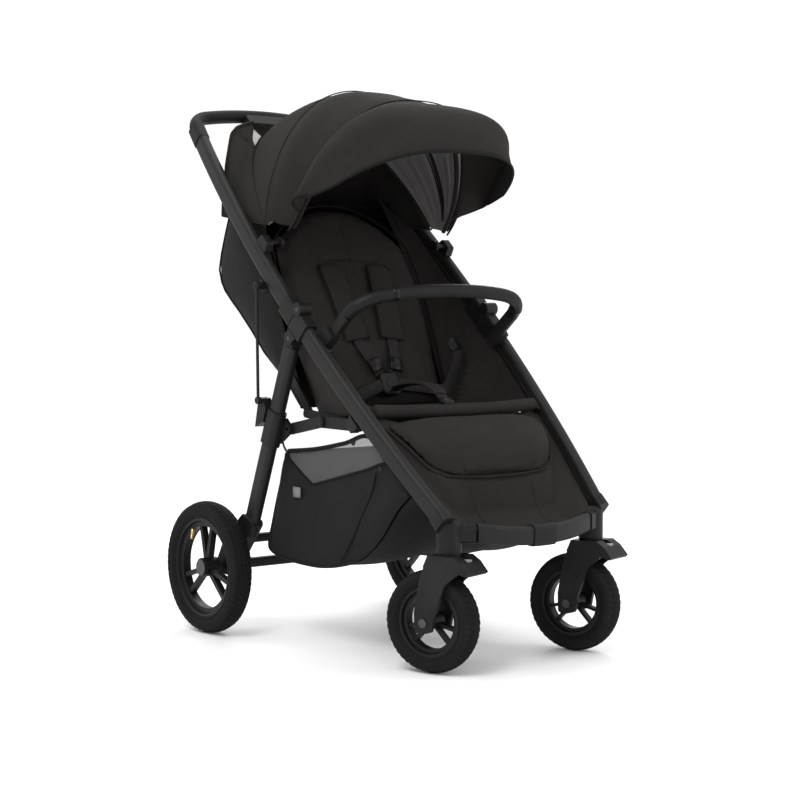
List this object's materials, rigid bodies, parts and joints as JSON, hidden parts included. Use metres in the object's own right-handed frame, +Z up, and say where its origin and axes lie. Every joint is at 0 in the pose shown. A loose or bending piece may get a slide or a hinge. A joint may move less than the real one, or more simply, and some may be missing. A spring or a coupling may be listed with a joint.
{
  "type": "baby stroller",
  "caption": "Folding baby stroller with swivelling front wheels, suspended reclining seat, bumper bar, hinged canopy with visor and a storage basket.",
  "frame": {"origin": "centre of the overall box, on the floor", "axes": "+Z up, -Y towards the front of the stroller, +X to the right seen from the front of travel looking back along +Y"},
  "size_m": [0.602, 0.9201, 1.0955],
  "materials": {
    "frame_paint": "satin black powder coat",
    "frame_plastic": "fine-grained black moulding",
    "small_plastic": "smooth black moulding",
    "steel": "black-coated steel",
    "core_alu": "bare tube under the grip",
    "slider_grey": "grey moulding",
    "grip_foam": "soft black leatherette",
    "tyre": "black rubber",
    "wheel_plastic": "black moulding",
    "canopy_fabric": "charcoal woven polyester",
    "seat_fabric": "charcoal woven polyester, padded",
    "shell_fabric": "charcoal woven polyester",
    "webbing": "black webbing"
  },
  "bodies": {
    "chassis": {"front_tubes": "frame_paint", "corner_castings": "frame_plastic", "front_bar": "frame_paint", "front_bar_cover": "frame_plastic", "hinge_housings": "frame_plastic", "hinge_pins": "steel", "seat_rails": "frame_plastic", "bumper_sockets": "frame_plastic", "seat_cushion": "seat_fabric", "calf_panel": "shell_fabric", "basket": "shell_fabric", "harness_buckle": "small_plastic", "crotch_strap": "webbing"},
    "upper_frame": {"upper_tubes": "frame_paint", "hinge_caps": "frame_plastic", "handle_core": "core_alu", "handle_grip": "grip_foam", "trigger_housing": "frame_plastic", "rod_brackets": "frame_plastic", "canopy_mounts": "frame_plastic", "canopy_rear_panel": "canopy_fabric", "canopy_bow_rear": "frame_plastic", "canopy_back_panel": "canopy_fabric"},
    "trigger": {"fold_trigger": "small_plastic"},
    "canopy_mid": {"canopy_front_panel": "canopy_fabric", "canopy_bow_front": "frame_plastic"},
    "visor": {"canopy_visor": "canopy_fabric"},
    "rear_frame": {"rear_legs": "frame_paint", "rear_feet": "frame_plastic", "rear_cross_bars": "frame_paint", "leg_sleeves": "frame_plastic", "rear_axle_pins": "steel"},
    "pedal": {"brake_pedal": "small_plastic"},
    "fold_rods": {"fold_rods": "steel"},
    "strut_front": {"strut_front_links": "frame_plastic"},
    "strut_rear": {"strut_rear_links": "frame_plastic"},
    "bumper": {"bumper_pad": "grip_foam", "bumper_arms": "frame_plastic"},
    "bumper_button_right": {"bumper_button_right": "small_plastic"},
    "bumper_button_left": {"bumper_button_left": "small_plastic"},
    "leg_rest": {"leg_rest_pad": "seat_fabric"},
    "back_hinge": {"recline_brackets": "frame_plastic"},
    "backrest": {"backrest_shell": "shell_fabric", "backrest_cushion": "seat_fabric", "shoulder_pads": "seat_fabric"},
    "buckle_button": {"buckle_button": "small_plastic"},
    "caster_right": {"fork_right": "frame_plastic", "caster_pins_right": "steel"},
    "swivel_lock_right": {"swivel_lock_right": "slider_grey"},
    "front_wheel_right": {"front_tyre_right": "tyre", "front_rim_right": "wheel_plastic"},
    "rear_wheel_right": {"rear_tyre_right": "tyre", "rear_rim_right": "wheel_plastic"},
    "caster_left": {"fork_left": "frame_plastic", "caster_pins_left": "steel"},
    "swivel_lock_left": {"swivel_lock_left": "slider_grey"},
    "front_wheel_left": {"front_tyre_left": "tyre", "front_rim_left": "wheel_plastic"},
    "rear_wheel_left": {"rear_tyre_left": "tyre", "rear_rim_left": "wheel_plastic"}
  },
  "joints": [
    {"name": "frame_fold", "type": "hinge", "parent": "chassis", "child": "upper_frame", "pos_m": [0, -0.02611, 0.64511], "axis": [1, 0, 0], "range_deg": [0, 170], "deforming": ["canopy_rear_panel", "canopy_front_panel", "canopy_visor", "canopy_bow_rear", "canopy_bow_front", "canopy_back_panel", "backrest_shell", "backrest_cushion", "shoulder_pads", "harness_buckle", "buckle_button", "crotch_strap", "leg_rest_pad", "seat_cushion", "recline_brackets"]},
    {"name": "rear_frame_fold", "type": "hinge", "parent": "chassis", "child": "rear_frame", "pos_m": [0, 0.002, 0.59], "axis": [1, 0, 0], "range_deg": [-38, 0]},
    {"name": "rod_swing", "type": "hinge", "parent": "upper_frame", "child": "fold_rods", "pos_m": [0, 0.09574, 0.69014], "axis": [1, 0, 0], "range_deg": [-129.7, 0]},
    {"name": "strut_front_swing", "type": "hinge", "parent": "chassis", "child": "strut_front", "pos_m": [0, -0.1741, 0.4317], "axis": [1, 0, 0], "range_deg": [-54.21, 0]},
    {"name": "strut_knee", "type": "hinge", "parent": "strut_front", "child": "strut_rear", "pos_m": [0, -0.058, 0.433], "axis": [1, 0, 0], "range_deg": [0, 139.67]},
    {"name": "backrest_fold", "type": "hinge", "parent": "chassis", "child": "back_hinge", "pos_m": [0, 0.002, 0.446], "axis": [1, 0, 0], "range_deg": [0, 104]},
    {"name": "backrest_recline", "type": "hinge", "parent": "back_hinge", "child": "backrest", "pos_m": [0, 0.002, 0.446], "axis": [-1, 0, 0], "range_deg": [0, 36]},
    {"name": "canopy_fold", "type": "hinge", "parent": "upper_frame", "child": "canopy_mid", "pos_m": [0, 0.1025, 0.7745], "axis": [-1, 0, 0], "range_deg": [0, 44]},
    {"name": "visor_flip", "type": "hinge", "parent": "canopy_mid", "child": "visor", "pos_m": [0, 0.1025, 0.7745], "axis": [-1, 0, 0], "range_deg": [0, 27]},
    {"name": "leg_rest_tilt", "type": "hinge", "parent": "chassis", "child": "leg_rest", "pos_m": [0, -0.22, 0.435], "axis": [-1, 0, 0], "range_deg": [0, 40]},
    {"name": "fold_trigger_pull", "type": "slide", "parent": "upper_frame", "child": "trigger", "axis": [0, 0.7323, 0.681], "range_m": [0, 0.007], "stiffness_N_per_m": 400, "springref_m": -0.005},
    {"name": "bumper_release", "type": "slide", "parent": "chassis", "child": "bumper", "axis": [0, -0.7749, 0.632], "range_m": [0, 0.06]},
    {"name": "bumper_button_press_right", "type": "slide", "parent": "bumper", "child": "bumper_button_right", "axis": [1, 0, 0], "range_m": [0, 0.002], "stiffness_N_per_m": 600, "springref_m": -0.002},
    {"name": "caster_swivel_right", "type": "hinge", "parent": "chassis", "child": "caster_right", "pos_m": [0.174, -0.387, 0.2], "axis": [0, 0, 1], "continuous": true},
    {"name": "front_wheel_spin_right", "type": "hinge", "parent": "caster_right", "child": "front_wheel_right", "pos_m": [0.16435, -0.35544, 0.0927], "axis": [0.9563, 0.2924, 0], "continuous": true},
    {"name": "rear_wheel_spin_right", "type": "hinge", "parent": "rear_frame", "child": "rear_wheel_right", "pos_m": [0.278, 0.235, 0.1314], "axis": [1, 0, 0], "continuous": true},
    {"name": "swivel_lock_slide_right", "type": "slide", "parent": "caster_right", "child": "swivel_lock_right", "axis": [0, 0, 1], "range_m": [0, 0.003]},
    {"name": "bumper_button_press_left", "type": "slide", "parent": "bumper", "child": "bumper_button_left", "axis": [-1, 0, 0], "range_m": [0, 0.002], "stiffness_N_per_m": 600, "springref_m": -0.002},
    {"name": "caster_swivel_left", "type": "hinge", "parent": "chassis", "child": "caster_left", "pos_m": [-0.174, -0.387, 0.2], "axis": [0, 0, 1], "continuous": true},
    {"name": "front_wheel_spin_left", "type": "hinge", "parent": "caster_left", "child": "front_wheel_left", "pos_m": [-0.18365, -0.35544, 0.0927], "axis": [0.9563, 0.2924, 0], "continuous": true},
    {"name": "rear_wheel_spin_left", "type": "hinge", "parent": "rear_frame", "child": "rear_wheel_left", "pos_m": [-0.278, 0.235, 0.1314], "axis": [1, 0, 0], "continuous": true},
    {"name": "swivel_lock_slide_left", "type": "slide", "parent": "caster_left", "child": "swivel_lock_left", "axis": [0, 0, 1], "range_m": [0, 0.003]},
    {"name": "brake_press", "type": "hinge", "parent": "rear_frame", "child": "pedal", "pos_m": [0, 0.23, 0.184], "axis": [-1, 0, 0], "range_deg": [0, 14], "stiffness_Nm_per_rad": 2, "springref_deg": -22.92},
    {"name": "buckle_press", "type": "slide", "parent": "chassis", "child": "buckle_button", "axis": [0, 0.8988, -0.4384], "range_m": [0, 0.003], "stiffness_N_per_m": 500, "springref_m": -0.003}
  ],
  "couplings": [
    {"joint": "rear_frame_fold", "follows": "frame_fold", "ratio": -0.22353},
    {"joint": "rod_swing", "follows": "frame_fold", "ratio": -0.76001},
    {"joint": "strut_front_swing", "follows": "frame_fold", "ratio": -0.31595},
    {"joint": "strut_knee", "follows": "frame_fold", "ratio": 0.81863},
    {"joint": "backrest_fold", "follows": "frame_fold", "ratio": 0.61177}
  ]
}
